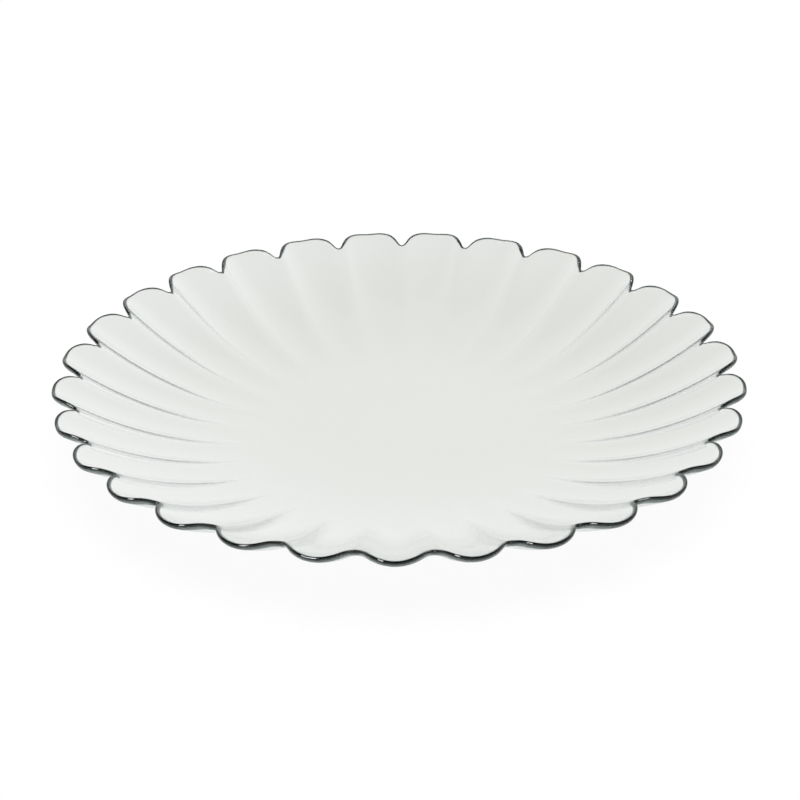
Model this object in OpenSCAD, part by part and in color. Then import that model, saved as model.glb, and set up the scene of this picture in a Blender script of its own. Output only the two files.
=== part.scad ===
// Scalloped dinner plate pressed from clear glass.
// A flat well rises into a rim of petals: each petal is a shallow trough,
// two petals meet in a ridge, and each ridge runs out into a notch.
// The origin is at the middle of the foot, +Z is up, and one petal points to -Y.

/* [Outline] */
// Number of petals round the rim
petals = 29; // [16:1:36]
// Diameter over the petal tips
tip_d = 270; // [220:1:320]
// Depth of the notch between two petals, from the tip circle
notch_depth = 9.2; // [5:0.1:14]
// Fullness of a petal's end, where a higher power is squarer
petal_fullness = 2.7; // [2:0.1:4]
// Share of a half petal at which the round bottom of the notch starts
notch_start = 0.89; // [0.75:0.01:0.94]

/* [Dish] */
// Diameter of the flat well
well_d = 104; // [70:1:140]
// Depth of the dish, from the petal tips down to the well
depth = 23.7; // [14:0.1:36]
// How late the trough rises on its way out, where a higher power is later
trough_power = 2.3; // [1.8:0.1:3]
// Height of the ridges over the troughs, at the tip circle
flute_h = 5.2; // [2:0.1:9]
// How late the ridges rise over the troughs, where a higher power is later
flute_power = 1.7; // [1.4:0.1:2.4]
// Share of a half petal at which the trough turns into the ridge
ridge_start = 0.66; // [0.5:0.01:0.85]

/* [Glass] */
// Thickness of the glass in the well
well_wall = 2; // [1.8:0.1:5]
// Thickness of the glass at the petal tips
rim_wall = 2.1; // [1.6:0.1:4]

/* [Foot] */
// Width of the flat ring that the plate stands on
foot_w = 9; // [4:0.5:20]
// Depth of the shallow hollow inside that ring
hollow_depth = 0.4; // [0.3:0.1:1.2]

/* [Hidden] */

// Columns of points in a petal, rings of points from the well to the edge,
// and steps in a quarter turn of the rounded edge
columns = 12;
rings = 6;
edge_steps = 2;
// Sides of a drawn circle
circle_sides = 200;
// Turn over which the outline's direction is taken, in degrees
tiny_turn = 0.01;

tip_r = tip_d / 2;
well_r = well_d / 2;
rim_run = tip_r - well_r;
edge_r = rim_wall / 2;
pitch = 360 / petals;

// The end of a petal falls back by petal_drop * f ^ petal_fullness, where f is the
// place across the half petal, and a parabola then rounds the bottom of the notch
drop_slope = petal_fullness * pow(notch_start, petal_fullness - 1);
petal_drop = notch_depth / (pow(notch_start, petal_fullness) + drop_slope * (1 - notch_start) / 2);
notch_curve = petal_drop * drop_slope / (2 * (1 - notch_start));

// Radius of the sphere that leaves the hollow in the foot
hollow_r = well_r - foot_w;
hollow_arc = (hollow_r * hollow_r + hollow_depth * hollow_depth) / (2 * hollow_depth);

// Place across a petal at an angle: 0 on its middle line, 1 at the notch
function across(angle) =
    let (turn = (angle + 90) / pitch)
    2 * abs(turn - round(turn));

function outline_r(f) =
    tip_r - (f < notch_start ? petal_drop * pow(f, petal_fullness)
                             : notch_depth - notch_curve * pow(1 - f, 2));

function outline_point(angle) = outline_r(across(angle)) * [cos(angle), sin(angle)];

// Direction square to the outline, in plan
function outward(angle) =
    let (along = outline_point(angle + tiny_turn) - outline_point(angle - tiny_turn))
    [along.y, -along.x] / norm(along);

// Height of the wave across a petal: 0 in the trough, 1 on the ridge
function wave(f) =
    f < ridge_start ? f * f / ridge_start
                    : 1 - pow(1 - f, 2) / (1 - ridge_start);

// Slope of that wave, over the place across the petal
function wave_slope(f) = f < ridge_start ? 2 * f / ridge_start : 2 * (1 - f) / (1 - ridge_start);

// In section, the troughs, and the ridges over them, leave the well level
// and rise by a power of the share of the way out
function rise(run, height, power) = height * pow(run / rim_run, power);

function rise_slope(run, height, power) = height * power / rim_run * pow(run / rim_run, power - 1);

function run_at(p) = max(norm(p) - well_r, 0);

function across_at(p) = across(atan2(p.y, p.x));

// Height of the upper face over a place in plan
function upper_z(p) =
    let (run = run_at(p))
    well_wall + rise(run, depth, trough_power) + wave(across_at(p)) * rise(run, flute_h, flute_power);

// Upright thickness of the glass there, which grows with the slope
function upright_wall(p) =
    let (run = run_at(p),
         w = wave(across_at(p)),
         flute = rise(run, flute_h, flute_power),
         out_slope = rise_slope(run, depth, trough_power) + w * rise_slope(run, flute_h, flute_power),
         round_slope = flute * wave_slope(across_at(p)) * petals / (PI * norm(p)),
         wall = well_wall + (rim_wall - well_wall) * run / rim_run)
    wall * norm([1, out_slope, round_slope]);

// Places in plan along one column, each with its share of the full thickness:
// out over the rim, then round the edge, where the glass thins to nothing
function column_plan(angle) =
    let (start = well_r * [cos(angle), sin(angle)],
         tip = outline_point(angle),
         inset = edge_r * outward(angle))
    concat(
        [for (i = [0:rings]) [start + (tip - inset - start) * i / rings, 1]],
        [for (i = [1:edge_steps])
            let (turn = 90 * i / edge_steps)
            [tip - inset * (1 - sin(turn)), cos(turn)]]);

// One column of points: along the upper face, round the edge and back below
function column_points(angle) =
    let (plan = column_plan(angle),
         last = len(plan) - 1)
    concat(
        [for (s = plan) [s[0].x, s[0].y, upper_z(s[0]) - (1 - s[1]) / 2 * upright_wall(s[0])]],
        [for (i = [last - 1:-1:0])
            let (s = plan[i])
            [s[0].x, s[0].y, upper_z(s[0]) - (1 + s[1]) / 2 * upright_wall(s[0])]]);

// The columns crowd towards the notches, where the edge bends most
column_angles = [
    for (petal = [0:petals - 1], i = [0:columns - 1])
    -90 + pitch * (petal + sin(90 * (2 * i / columns - 1)) / 2)
];

// The glass as pressed, before the foot is hollowed
module pressed_dish() {
    column_len = 2 * (rings + edge_steps) + 1;
    count = len(column_angles);
    well_centre = count * column_len;
    foot_centre = well_centre + 1;
    points = concat(
        [for (angle = column_angles) each column_points(angle)],
        [[0, 0, well_wall], [0, 0, 0]]);
    faces = [
        for (c = [0:count - 1])
        let (here = c * column_len,
             next = (c + 1) % count * column_len,
             end = column_len - 1)
        each concat(
            [[well_centre, next, here], [foot_centre, here + end, next + end]],
            [for (j = [0:end - 1]) each [
                [here + j, next + j, next + j + 1],
                [here + j, next + j + 1, here + j + 1]]])
    ];
    polyhedron(points, faces, convexity = 10);
}

module plate() {
    color([0.86, 0.9, 0.88, 0.5])
    difference() {
        pressed_dish();
        translate([0, 0, hollow_depth - hollow_arc])
            sphere(hollow_arc, $fn = circle_sides);
    }
}

plate();
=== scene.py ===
# %% [markdown]
# # A scalloped glass dinner plate
# The real plate is one piece of clear pressed glass. A flat well rises into a rim of
# petals, and two petals meet in a ridge that runs out into a notch. The frame holds the
# plate as a plain faceted solid. This lesson gives it a smooth skin, a glass finish and
# a white floor to stand on. Lengths are in metres, +Z is up and one petal points to -Y.

# %% Load the frame
import math

import bpy
from mathutils import Matrix, Vector


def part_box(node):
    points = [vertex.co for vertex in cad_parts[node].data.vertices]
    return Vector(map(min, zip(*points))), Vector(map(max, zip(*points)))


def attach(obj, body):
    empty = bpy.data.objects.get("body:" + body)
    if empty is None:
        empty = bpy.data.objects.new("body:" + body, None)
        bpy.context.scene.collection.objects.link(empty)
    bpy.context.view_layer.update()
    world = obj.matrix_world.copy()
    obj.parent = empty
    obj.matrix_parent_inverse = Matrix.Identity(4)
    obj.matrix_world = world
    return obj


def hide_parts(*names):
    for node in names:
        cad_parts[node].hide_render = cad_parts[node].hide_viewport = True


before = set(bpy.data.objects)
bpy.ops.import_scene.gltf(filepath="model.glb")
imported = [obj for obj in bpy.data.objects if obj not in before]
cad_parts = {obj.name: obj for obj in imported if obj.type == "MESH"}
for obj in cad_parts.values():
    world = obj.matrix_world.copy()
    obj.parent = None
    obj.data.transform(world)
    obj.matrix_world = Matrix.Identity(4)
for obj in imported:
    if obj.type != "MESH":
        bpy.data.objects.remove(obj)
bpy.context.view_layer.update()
plate_low, plate_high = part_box("plate")
print("plate box from", tuple(plate_low), "to", tuple(plate_high))

# %% [markdown]
# ## Sizes
# One petal tip lies on the -Y axis, so the frame's box gives the tip radius. The other
# sizes are real sizes of the pressing, the same as those of the solid.

# %% Name the sizes of the pressing
MM = 0.001
PETALS = 29
TIP_R = -plate_low.y
NOTCH_DEPTH = 9.2 * MM
PETAL_FULLNESS = 2.7
NOTCH_START = 0.89
WELL_R = 52 * MM
DISH_DEPTH = 23.7 * MM
TROUGH_POWER = 2.3
FLUTE_H = 5.2 * MM
FLUTE_POWER = 1.7
RIDGE_START = 0.66
WELL_WALL = 2 * MM
RIM_WALL = 2.1 * MM
FOOT_W = 9 * MM
HOLLOW_DEPTH = 0.4 * MM
RIM_Z = WELL_WALL + DISH_DEPTH
print("tip radius", TIP_R, "rim height", RIM_Z)

# %% [markdown]
# ## Camera
# The photograph was taken from a little above the plate with a long lens. The camera is
# set by its distance from the middle of the rim, its elevation, a slight turn round the
# plate and a slight roll. It aims just below the rim, so that no lens shift is needed.

# %% Place the camera
FRAME_PX = 800
FOCAL_PX = 2880
SENSOR_W = 36
VIEW_DISTANCE = 8.317 * TIP_R
VIEW_ELEVATION = math.radians(28.04)
VIEW_TURN = math.radians(0.855)
VIEW_ROLL = math.radians(0.604)
RIM_CENTRE_PX = Vector((398.85, 378.88))


def photo_camera():
    """A camera that sees the rim's centre at RIM_CENTRE_PX."""
    back = Vector((math.sin(VIEW_TURN) * math.cos(VIEW_ELEVATION),
                   -math.cos(VIEW_TURN) * math.cos(VIEW_ELEVATION),
                   math.sin(VIEW_ELEVATION)))
    right = Vector((math.cos(VIEW_TURN), math.sin(VIEW_TURN), 0))
    up = back.cross(right)
    rolled_right = right * math.cos(VIEW_ROLL) - up * math.sin(VIEW_ROLL)
    rolled_up = right * math.sin(VIEW_ROLL) + up * math.cos(VIEW_ROLL)
    off_centre = (RIM_CENTRE_PX - Vector((FRAME_PX, FRAME_PX)) / 2) / FOCAL_PX
    forward = (-back - rolled_right * off_centre.x + rolled_up * off_centre.y).normalized()
    side = forward.cross(rolled_up).normalized()
    axes = Matrix((side, side.cross(forward), -forward)).transposed()
    eye = Vector((0, 0, RIM_Z)) + back * VIEW_DISTANCE
    lens = bpy.data.cameras.new("photo_camera")
    lens.sensor_width = SENSOR_W
    lens.lens = FOCAL_PX / FRAME_PX * SENSOR_W
    camera = bpy.data.objects.new("photo_camera", lens)
    camera.matrix_world = Matrix.Translation(eye) @ axes.to_4x4()
    return camera


scene = bpy.context.scene
scene.camera = photo_camera()
scene.collection.objects.link(scene.camera)
print("camera at", tuple(scene.camera.location), "lens", scene.camera.data.lens)

# %% [markdown]
# ## Nodes
# The finish of the glass, its shape, the floor and the room are all graphs of nodes. A
# few helpers add a node with its inputs, do one sum, and read a colour off a ramp, so
# that each graph reads as a short list of what it is made of.

# %% Helpers that add nodes
NODES_IN_ROW = 16
NODE_SPACING = 190


def feed(graph, socket, value):
    """Links another socket to this one, or sets it to a plain value."""
    if isinstance(value, bpy.types.NodeSocket):
        graph.links.new(value, socket)
    else:
        socket.default_value = value


def add_node(graph, kind, inputs=None, **settings):
    """A new node with its settings and inputs, set out in rows so that the graph can be read."""
    place = len(graph.nodes)
    node = graph.nodes.new(kind)
    node.location = (place % NODES_IN_ROW * NODE_SPACING, -(place // NODES_IN_ROW) * NODE_SPACING)
    for name, setting in settings.items():
        setattr(node, name, setting)
    for name, value in (inputs or {}).items():
        feed(graph, node.inputs[name], value)
    return node


def sum_of(graph, operation, *terms):
    """The result of one Math node."""
    return add_node(graph, "ShaderNodeMath", dict(enumerate(terms)), operation=operation).outputs[0]


def ramp_of(graph, place, colours):
    """The colour at a place on a ramp that has one stop for each place and colour."""
    node = add_node(graph, "ShaderNodeValToRGB", {"Fac": place})
    stops = node.color_ramp.elements
    while len(stops) < len(colours):
        stops.new(1)
    for stop, (position, colour) in zip(stops, colours.items()):
        stop.position = position
        stop.color = colour
    return node.outputs["Color"]


def grey(level):
    """A grey, from 0 for black to 1 for white."""
    return (level, level, level, 1)


WHITE = grey(1)
print("white is", WHITE, "and graphs are set out in rows of", NODES_IN_ROW)

# %% [markdown]
# ## Glass
# Clear pressed glass lets light straight through, and its faint grey-teal shows only
# where light runs a long way inside it. So the colour is in the volume: a Principled
# shader passes all light, and a Volume Absorption node takes a little out of it on the
# way. Light that enters at the rounded edge runs through the whole plate, so the edge
# looks almost black. A nearly black colour on the outer face of the edge is painted
# shade that stands for that long way, and the tree below marks the edge with an
# attribute. The edge is polished in the fire. The press leaves waves in the faces, which
# soften the dark lines along the ridges: a slight roughness stands for the fine waves,
# and a soft bump for the wider ones.

# %% Make the glass finish
GLASS_IOR = 1.52
GLASS_TINT = (0.35, 0.5, 0.46, 1)
GLASS_DENSITY = 15
EDGE_PLACE = "edge_place"
# Painted shade: the outer face of the edge is coloured nearly black for the long way light runs inside
# the plate.
EDGE_PAINTED_SHADE = (0.01, 0.016, 0.017, 1)
EDGE_SHADE_STOPS = {0.15: WHITE, 0.22: EDGE_PAINTED_SHADE, 0.55: EDGE_PAINTED_SHADE, 0.63: WHITE}
FACE_ROUGHNESS = grey(0.1)
EDGE_ROUGHNESS = grey(0.015)
ROUGHNESSES = {0: FACE_ROUGHNESS, 0.1: EDGE_ROUGHNESS, 0.9: EDGE_ROUGHNESS, 1: FACE_ROUGHNESS}
WAVE_SCALE = 55
WAVE_DETAIL = 1
WAVE_HEIGHT = 0.012 * MM


def press_waves(graph):
    """The direction that the face looks in, bent a little by soft waves."""
    where = add_node(graph, "ShaderNodeTexCoord").outputs["Object"]
    waves = add_node(graph, "ShaderNodeTexNoise",
                     {"Vector": where, "Scale": WAVE_SCALE, "Detail": WAVE_DETAIL})
    bump = add_node(graph, "ShaderNodeBump",
                    {"Height": waves.outputs["Fac"], "Distance": WAVE_HEIGHT})
    return bump.outputs["Normal"]


def clear_glass():
    """Transparent glass with a tint in its depth, painted shade on its edge and a slightly uneven face.
    """
    glass = bpy.data.materials.new("clear_glass")
    glass.use_nodes = True
    graph = glass.node_tree
    edge_place = add_node(graph, "ShaderNodeAttribute", attribute_name=EDGE_PLACE).outputs["Fac"]
    finish = {
        "Transmission Weight": 1,
        "IOR": GLASS_IOR,
        # The base colour paints shade on the outer face of the edge.
        "Base Color": ramp_of(graph, edge_place, EDGE_SHADE_STOPS),
        "Roughness": ramp_of(graph, edge_place, ROUGHNESSES),
        "Normal": press_waves(graph),
    }
    for name, value in finish.items():
        feed(graph, graph.nodes["Principled BSDF"].inputs[name], value)
    depth = add_node(graph, "ShaderNodeVolumeAbsorption",
                     {"Color": GLASS_TINT, "Density": GLASS_DENSITY})
    feed(graph, graph.nodes["Material Output"].inputs["Volume"], depth.outputs["Volume"])
    return glass


glass = clear_glass()
print("glass nodes", len(glass.node_tree.nodes))

# %% [markdown]
# ## Reckoning with nodes
# The plate's shape is a rule, so Geometry Nodes make it. A rule has many sums, and one
# Math node does one sum. This small class lets Python's own signs add those nodes, so
# that a formula reads as it would on paper.

# %% A number on the node tree
class Reckoned:
    """A field socket that Python's arithmetic signs turn into Math nodes."""

    def __init__(self, socket):
        self.socket = socket

    def __add__(self, other):
        return reckon("ADD", self, other)

    def __radd__(self, other):
        return reckon("ADD", other, self)

    def __sub__(self, other):
        return reckon("SUBTRACT", self, other)

    def __rsub__(self, other):
        return reckon("SUBTRACT", other, self)

    def __mul__(self, other):
        return reckon("MULTIPLY", self, other)

    def __rmul__(self, other):
        return reckon("MULTIPLY", other, self)

    def __truediv__(self, other):
        return reckon("DIVIDE", self, other)

    def __rtruediv__(self, other):
        return reckon("DIVIDE", other, self)

    def __pow__(self, other):
        return reckon("POWER", self, other)


tree = bpy.data.node_groups.new("pressed_plate", "GeometryNodeTree")


def reckon(operation, *terms):
    """One Math node of the plate's tree."""
    sockets = [term.socket if isinstance(term, Reckoned) else term for term in terms]
    return Reckoned(sum_of(tree, operation, *sockets))


def root(a):
    return reckon("SQRT", a)


def length(a, b):
    return root(a * a + b * b)


def unit_share(a):
    """Keeps a number between 0 and 1."""
    return reckon("MINIMUM", reckon("MAXIMUM", a, 0), 1)


def pick(below, limit, then, otherwise):
    """One number below a limit, and another above it."""
    is_below = reckon("LESS_THAN", below, limit)
    return otherwise + is_below * (then - otherwise)


print("the tree starts with", len(tree.nodes), "nodes")

# %% [markdown]
# ## Inputs
# Each size is a named input of the tree, so the plate can be changed in the modifier
# panel as well as here. The last three say how finely the skin is drawn.

# %% Name the tree's inputs
COLUMNS_PER_PETAL = 32
SECTION_STEPS = 70
CAP_RINGS = 10
SIZES = {
    "Tip radius": TIP_R, "Notch depth": NOTCH_DEPTH, "Petal fullness": PETAL_FULLNESS,
    "Notch start": NOTCH_START, "Well radius": WELL_R, "Dish depth": DISH_DEPTH,
    "Trough power": TROUGH_POWER, "Flute height": FLUTE_H, "Flute power": FLUTE_POWER,
    "Ridge start": RIDGE_START, "Well wall": WELL_WALL, "Rim wall": RIM_WALL,
    "Foot width": FOOT_W, "Hollow depth": HOLLOW_DEPTH,
}
COUNTS = {
    "Petals": PETALS, "Columns": PETALS * COLUMNS_PER_PETAL,
    "Section steps": SECTION_STEPS, "Cap rings": CAP_RINGS,
}
panel = tree.interface
identifiers = {}
for names, kind in ((SIZES, "NodeSocketFloat"), (COUNTS, "NodeSocketInt")):
    for name in names:
        identifiers[name] = panel.new_socket(name, in_out="INPUT", socket_type=kind).identifier
panel.new_socket("Glass", in_out="OUTPUT", socket_type="NodeSocketGeometry")
inlet = add_node(tree, "NodeGroupInput")
size = {name: Reckoned(inlet.outputs[name]) for name in [*SIZES, *COUNTS]}
print("inputs", ", ".join(size))

# %% [markdown]
# ## Start from a tube
# The section of the plate is one closed line: over the well, up the rim, round the edge
# and back below to the foot. A Mesh Cylinder already has a wall that closes on itself
# and two caps with a point in the middle. Its upper cap becomes the well, its lower cap
# the foot, and its wall folds over to become the rim. So no seam has to be welded. The
# tube reaches 1 out, up and down, so its points give shares of the way along the section.

# %% Read each point's place on the tube
tube = add_node(tree, "GeometryNodeMeshCylinder", {
    "Radius": 1, "Depth": 2, "Vertices": size["Columns"].socket,
    "Side Segments": size["Section steps"].socket, "Fill Segments": size["Cap rings"].socket,
}, fill_type="TRIANGLE_FAN")
tube_point = add_node(tree, "GeometryNodeInputPosition").outputs[0]
tube_places = add_node(tree, "ShaderNodeSeparateXYZ", {0: tube_point}).outputs
tube_x, tube_y, tube_z = (Reckoned(socket) for socket in tube_places)

EDGE_PART = 0.2
QUARTER = math.pi / 2
height = reckon("ABSOLUTE", tube_z)
face = reckon("SIGN", tube_z)
cap_share = reckon("MINIMUM", length(tube_x, tube_y), 1)
rim_share = unit_share((1 - height) / (1 - EDGE_PART))
edge_turn = unit_share((EDGE_PART - height) / EDGE_PART) * QUARTER

pitch = math.tau / size["Petals"]
front_angle = reckon("ARCTAN2", tube_x, tube_y * -1)
petal_turn = front_angle / pitch
petal = reckon("ROUND", petal_turn)
offset = (petal_turn - petal) * 2
side = reckon("SIGN", offset)
print("tube read with", len(tree.nodes), "nodes")

# %% [markdown]
# ## Outline
# Seen from above, the end of a petal falls back by a power of the place across it, and a
# parabola then rounds the bottom of the notch. The columns crowd towards the notch,
# where the edge bends most. The edge is rounded square to the outline, so the outline's
# slope is worked out as well.

# %% Draw the outline
CROWDING = 0.6
even_place = reckon("ABSOLUTE", offset)
across = even_place + CROWDING * (reckon("SINE", even_place * QUARTER) - even_place)

fullness, notch_start = size["Petal fullness"], size["Notch start"]
steepest = fullness * notch_start ** (fullness - 1)
notch_part = 1 - notch_start
petal_drop = size["Notch depth"] / (notch_start ** fullness + steepest * notch_part / 2)
notch_curve = petal_drop * steepest / (2 * notch_part)
from_notch = 1 - across
fall = pick(across, notch_start,
            petal_drop * across ** fullness,
            size["Notch depth"] - notch_curve * from_notch * from_notch)
fall_slope = pick(across, notch_start,
                  petal_drop * fullness * across ** (fullness - 1),
                  2 * notch_curve * from_notch)
outline_r = size["Tip radius"] - fall
outline_slope = fall_slope * side * -2 / pitch
outline_step = length(outline_r, outline_slope)
print("outline drawn with", len(tree.nodes), "nodes")

# %% [markdown]
# ## Plan
# A point of the rim lies between the well's circle and the outline drawn in by the edge
# radius. Round the edge it moves out to the outline itself.

# %% Set each point in plan
edge_r = size["Rim wall"] / 2
inset = edge_r * (1 - reckon("SINE", edge_turn))
outer_r = outline_r - inset * outline_r / outline_step
outer_t = inset * outline_slope / outline_step
well_at = size["Well radius"] * cap_share
plan_r = well_at + (outer_r - well_at) * rim_share
plan_t = outer_t * rim_share
plan_turn = reckon("ARCTAN2", plan_t, plan_r)
radius = length(plan_r, plan_t)
angle = (petal + side * across / 2) * pitch + plan_turn
place_across = unit_share(reckon("ABSOLUTE", side * across + 2 * plan_turn / pitch))
print("plan set with", len(tree.nodes), "nodes")

# %% [markdown]
# ## Height
# In section, the troughs leave the well level and rise by a power of the share of the way
# out. The ridges rise over them in the same way, and across a petal a smooth wave goes
# from trough to ridge. The glass is as thick as the wall square to its face, so its
# upright thickness grows with the slope.

# %% Lift each point
rim_run = size["Tip radius"] - size["Well radius"]
run_share = reckon("MAXIMUM", radius - size["Well radius"], 0) / rim_run


def rise(full_height, power):
    """Height gained by this share of the way out."""
    return full_height * run_share ** power


def rise_slope(full_height, power):
    """Slope of that rise."""
    return full_height * power / rim_run * run_share ** (power - 1)


ridge_start = size["Ridge start"]
from_ridge = 1 - place_across
wave = pick(place_across, ridge_start,
            place_across * place_across / ridge_start,
            1 - from_ridge * from_ridge / (1 - ridge_start))
wave_slope = pick(place_across, ridge_start,
                  2 * place_across / ridge_start,
                  2 * from_ridge / (1 - ridge_start))
trough = size["Dish depth"], size["Trough power"]
ridge = size["Flute height"], size["Flute power"]
flute = rise(*ridge)
upper_z = size["Well wall"] + rise(*trough) + flute * wave
out_slope = rise_slope(*trough) + rise_slope(*ridge) * wave
round_slope = flute * wave_slope * 2 / (pitch * reckon("MAXIMUM", radius, size["Well radius"]))
wall = size["Well wall"] + (size["Rim wall"] - size["Well wall"]) * run_share
upright_wall = wall * root(1 + out_slope * out_slope + round_slope * round_slope)
print("height lifted with", len(tree.nodes), "nodes")

# %% [markdown]
# ## Foot
# The photograph shows no foot ring, so the plate stands on a plain flat ring with a very
# shallow hollow inside it, as pressed plates do to stand without rocking. The hollow is
# a part of a large sphere.

# %% Hollow the foot
hollow_depth = size["Hollow depth"]
hollow_r = size["Well radius"] - size["Foot width"]
hollow_arc = (hollow_r * hollow_r + hollow_depth * hollow_depth) / (2 * hollow_depth)
under_foot = reckon("LESS_THAN", face, 0) * reckon("LESS_THAN", radius, hollow_r)
hollow_run = reckon("MINIMUM", radius, hollow_r)
hollow_fall = hollow_arc - root(hollow_arc * hollow_arc - hollow_run * hollow_run)
hollow_z = under_foot * (hollow_depth - hollow_fall)
print("foot hollowed with", len(tree.nodes), "nodes")

# %% [markdown]
# ## Close the tree
# Each point of the tube now moves to its own place on the glass. The tree also notes how
# far round the edge each point lies, from 0 on the upper face to 1 on the lower, which
# the glass reads for its painted edge shade and its polish.

# %% Move the points and set the finish
glass_share = reckon("COSINE", edge_turn)
point_z = upper_z - (1 - face * glass_share) / 2 * upright_wall + hollow_z
point = add_node(tree, "ShaderNodeCombineXYZ", {
    "X": (radius * reckon("SINE", angle)).socket,
    "Y": (radius * reckon("COSINE", angle) * -1).socket,
    "Z": point_z.socket,
})
round_edge = (1 - face * (1 - edge_turn / QUARTER)) / 2
chain = [
    tube,
    add_node(tree, "GeometryNodeStoreNamedAttribute", {"Name": EDGE_PLACE, "Value": round_edge.socket}),
    add_node(tree, "GeometryNodeSetPosition", {"Position": point.outputs[0]}),
    add_node(tree, "GeometryNodeSetShadeSmooth"),
    add_node(tree, "GeometryNodeRealizeInstances"),
    add_node(tree, "GeometryNodeSetMaterial", {"Material": glass}),
    add_node(tree, "NodeGroupOutput"),
]
for before, after in zip(chain, chain[1:]):
    feed(tree, after.inputs[0], before.outputs[0])
print("tree closed with", len(tree.nodes), "nodes")

# %% [markdown]
# ## The plate itself
# The modifier runs the tree once, and the result is kept as a plain mesh, because the
# object is handed on without modifiers.

# %% Run the tree
maker = bpy.data.objects.new("plate_maker", bpy.data.meshes.new("plate_maker"))
scene.collection.objects.link(maker)
modifier = maker.modifiers.new("pressed_plate", "NODES")
modifier.node_group = tree
for name, value in {**SIZES, **COUNTS}.items():
    modifier[identifiers[name]] = value
shape = bpy.data.meshes.new_from_object(maker.evaluated_get(bpy.context.evaluated_depsgraph_get()))
bpy.data.objects.remove(maker)
shape.name = "glass_plate"
plate = bpy.data.objects.new("glass_plate", shape)
scene.collection.objects.link(plate)
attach(plate, "root")
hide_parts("plate")
print("plate has", len(shape.vertices), "points and", len(shape.polygons), "faces")

# %% [markdown]
# ## Floor paint
# Glass has no look of its own: it shows what stands round it. The floor glows for the
# camera, so that it comes out white, and near the plate a share of it is plain lit paint,
# which keeps the shadow. Through the glass the same floor shows as a glow at the level of
# lit paper, with a painted shadow of the plate that makes it a little darker below the
# plate's back half.

# %% Mix the floor's paint
FLOOR_PAINT = grey(0.9)
GLOW_SHARE = 0.95
GLOW_MIDDLE = (0, 0, 0)
GLOW_R = (0.5, 1.5)
# Painted shadow: seen through the glass, the paper glow is a little darker round SHADE_MIDDLE, below
# the plate's back half.
PAPER_IN_PAINTED_SHADE = (0.81, 0.821, 0.786, 1)
PAPER_AROUND = (0.874, 0.886, 0.866, 1)
SHADE_MIDDLE = (0.02, 0.05, 0)
SHADE_R = (0.06, 0.16)


def share_away(graph, middle, radii, least=0):
    """A number on the floor that rises smoothly from least at the first radius to 1 at the second."""
    where = add_node(graph, "ShaderNodeTexCoord").outputs["Object"]
    away = add_node(graph, "ShaderNodeVectorMath", {0: where, 1: middle}, operation="DISTANCE")
    near, far = radii
    share = add_node(graph, "ShaderNodeMapRange", {
        "Value": away.outputs["Value"], "From Min": near, "From Max": far, "To Min": least,
    }, interpolation_type="SMOOTHSTEP")
    return share.outputs["Result"]


def glow_over(graph, surface, share, colour):
    """A share of a glow over a surface."""
    glow = add_node(graph, "ShaderNodeEmission", {"Color": colour})
    mix = add_node(graph, "ShaderNodeMixShader", {0: share, 1: surface, 2: glow.outputs[0]})
    return mix.outputs[0]


def floor_paint():
    """White paint that keeps a faint shadow, and shows through the glass as a glow with a painted
    shadow of the plate.
    """
    paint = bpy.data.materials.new("pale_floor")
    paint.use_nodes = True
    graph = paint.node_tree
    graph.nodes.remove(graph.nodes["Principled BSDF"])
    rays = add_node(graph, "ShaderNodeLightPath").outputs
    glow_share = share_away(graph, GLOW_MIDDLE, GLOW_R, GLOW_SHARE)
    seen = sum_of(graph, "MULTIPLY", rays["Is Camera Ray"], glow_share)
    in_glass = sum_of(graph, "MAXIMUM", rays["Is Glossy Ray"], rays["Is Transmission Ray"])
    # The paper seen through the glass carries a painted shadow of the plate.
    paper = ramp_of(graph, share_away(graph, SHADE_MIDDLE, SHADE_R), {0: PAPER_IN_PAINTED_SHADE, 1: PAPER_AROUND})
    lit = add_node(graph, "ShaderNodeBsdfDiffuse", {"Color": FLOOR_PAINT}).outputs[0]
    from_outside = glow_over(graph, lit, seen, WHITE)
    surface = glow_over(graph, from_outside, in_glass, paper)
    feed(graph, graph.nodes["Material Output"].inputs["Surface"], surface)
    return paint


paint = floor_paint()
print("floor paint nodes", len(paint.node_tree.nodes))

# %% [markdown]
# ## Floor
# The floor is one large square, just below the foot, so that the two don't share a plane.

# %% Lay the floor
FLOOR_HALF = 6
FLOOR_Z = -0.2 * MM
SQUARE = ((-1, -1), (1, -1), (1, 1), (-1, 1))
corners = [(x * FLOOR_HALF, y * FLOOR_HALF, FLOOR_Z) for x, y in SQUARE]
floor_shape = bpy.data.meshes.new("floor")
floor_shape.from_pydata(corners, [], [(0, 1, 2, 3)])
floor_shape.materials.append(paint)
floor = bpy.data.objects.new("floor", floor_shape)
scene.collection.objects.link(floor)
print("floor", FLOOR_HALF * 2, "m wide")

# %% [markdown]
# ## Room
# The level well mirrors the wall behind the plate, and the steep far petals mirror the
# ceiling. So the room is a ramp of grey that goes from the horizon behind the plate over
# the top to the horizon behind the camera: a bright wall, a ceiling that falls away to
# black, and darkness on the camera's side. The right wall is brighter than the left.
# The camera itself sees plain white there, so a low view has a white background too.

# %% Set the room's light
ROOM_LEVELS = {0: 0.86, 12: 0.93, 30: 0.84, 48: 0.6, 64: 0.41, 66: 0.22, 78: 0.1, 95: 0.05, 120: 0.03}
RIGHT_LIFT = 0.17
SEEN_LEVEL = 1
HALF_TURN = 180


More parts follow.
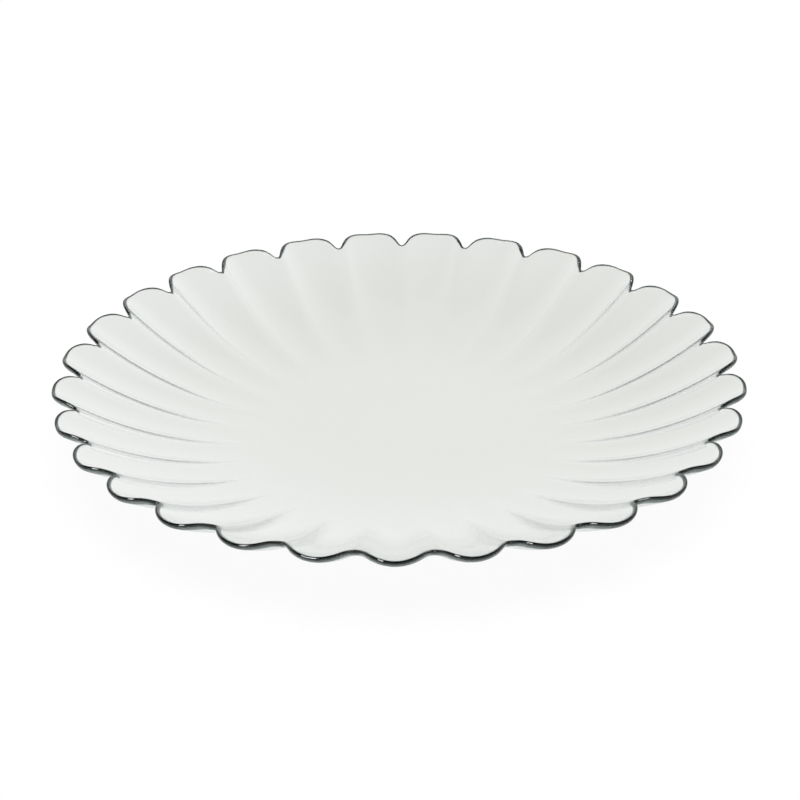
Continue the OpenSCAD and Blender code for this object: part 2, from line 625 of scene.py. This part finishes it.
def studio_room():
    """A bright wall behind the plate and a dark ceiling."""
    world = bpy.data.worlds.new("studio_room")
    world.use_nodes = True
    graph = world.node_tree
    look = add_node(graph, "ShaderNodeTexCoord").outputs["Generated"]
    toward = add_node(graph, "ShaderNodeSeparateXYZ", {0: look}).outputs
    over = sum_of(graph, "ARCTAN2", toward["Z"], toward["Y"])
    half_turns = sum_of(graph, "DIVIDE", over, math.pi)
    greys = {degrees / HALF_TURN: grey(level) for degrees, level in ROOM_LEVELS.items()}
    level = sum_of(graph, "MULTIPLY_ADD", toward["X"], RIGHT_LIFT, ramp_of(graph, half_turns, greys))
    from_camera = add_node(graph, "ShaderNodeLightPath").outputs["Is Camera Ray"]
    strength = add_node(graph, "ShaderNodeMix", {"Factor": from_camera, "A": level, "B": SEEN_LEVEL})
    light = graph.nodes["Background"]
    feed(graph, light.inputs["Color"], WHITE)
    feed(graph, light.inputs["Strength"], strength.outputs["Result"])
    return world


scene.world = studio_room()
print("room levels", ROOM_LEVELS)

# %% [markdown]
# ## Lamps
# A soft lamp stands in front on the left, and the rounded edge of the near petals mirrors
# it as small lights. A wide lamp overhead lights the floor, and the glass doesn't mirror
# it.

# %% Hang the lamps
LAMPS = {
    "soft_front": {"azimuth": -147, "elevation": 17, "distance": 1.6, "width": 0.6, "height": 1.2,
                   "power": 45, "mirrored": True},
    "soft_top": {"azimuth": 0, "elevation": 90, "distance": 2.2, "width": 2.0, "height": 2.0,
                 "power": 60, "mirrored": False},
}


def soft_lamp(name, azimuth, elevation, distance, width, height, power, mirrored):
    """A soft lamp turned to the plate, set round from +Y and up from the floor."""
    turn, lift = math.radians(azimuth), math.radians(elevation)
    to_lamp = Vector((math.sin(turn) * math.cos(lift), math.cos(turn) * math.cos(lift), math.sin(lift)))
    light = bpy.data.lights.new(name, "AREA")
    light.shape = "RECTANGLE"
    light.size = width
    light.size_y = height
    light.energy = power
    lamp = bpy.data.objects.new(name, light)
    lamp.location = to_lamp * distance
    lamp.rotation_euler = (-to_lamp).to_track_quat("-Z", "Y").to_euler()
    lamp.visible_glossy = mirrored
    lamp.visible_diffuse = not mirrored
    lamp.visible_transmission = False
    scene.collection.objects.link(lamp)


for name, setting in LAMPS.items():
    soft_lamp(name, **setting)
print("lamps", ", ".join(LAMPS))

# %% [markdown]
# ## Render settings
# The view transform is Standard, so that a white floor is white. Light that is caught in
# the glass turns many times before it gets out, so the bounce counts are high.

# %% Set the view and the bounces
GUIDED_BOUNCES = 300
scene.view_settings.view_transform = "Standard"
scene.cycles.max_bounces = GUIDED_BOUNCES
scene.cycles.glossy_bounces = GUIDED_BOUNCES
scene.cycles.transmission_bounces = GUIDED_BOUNCES
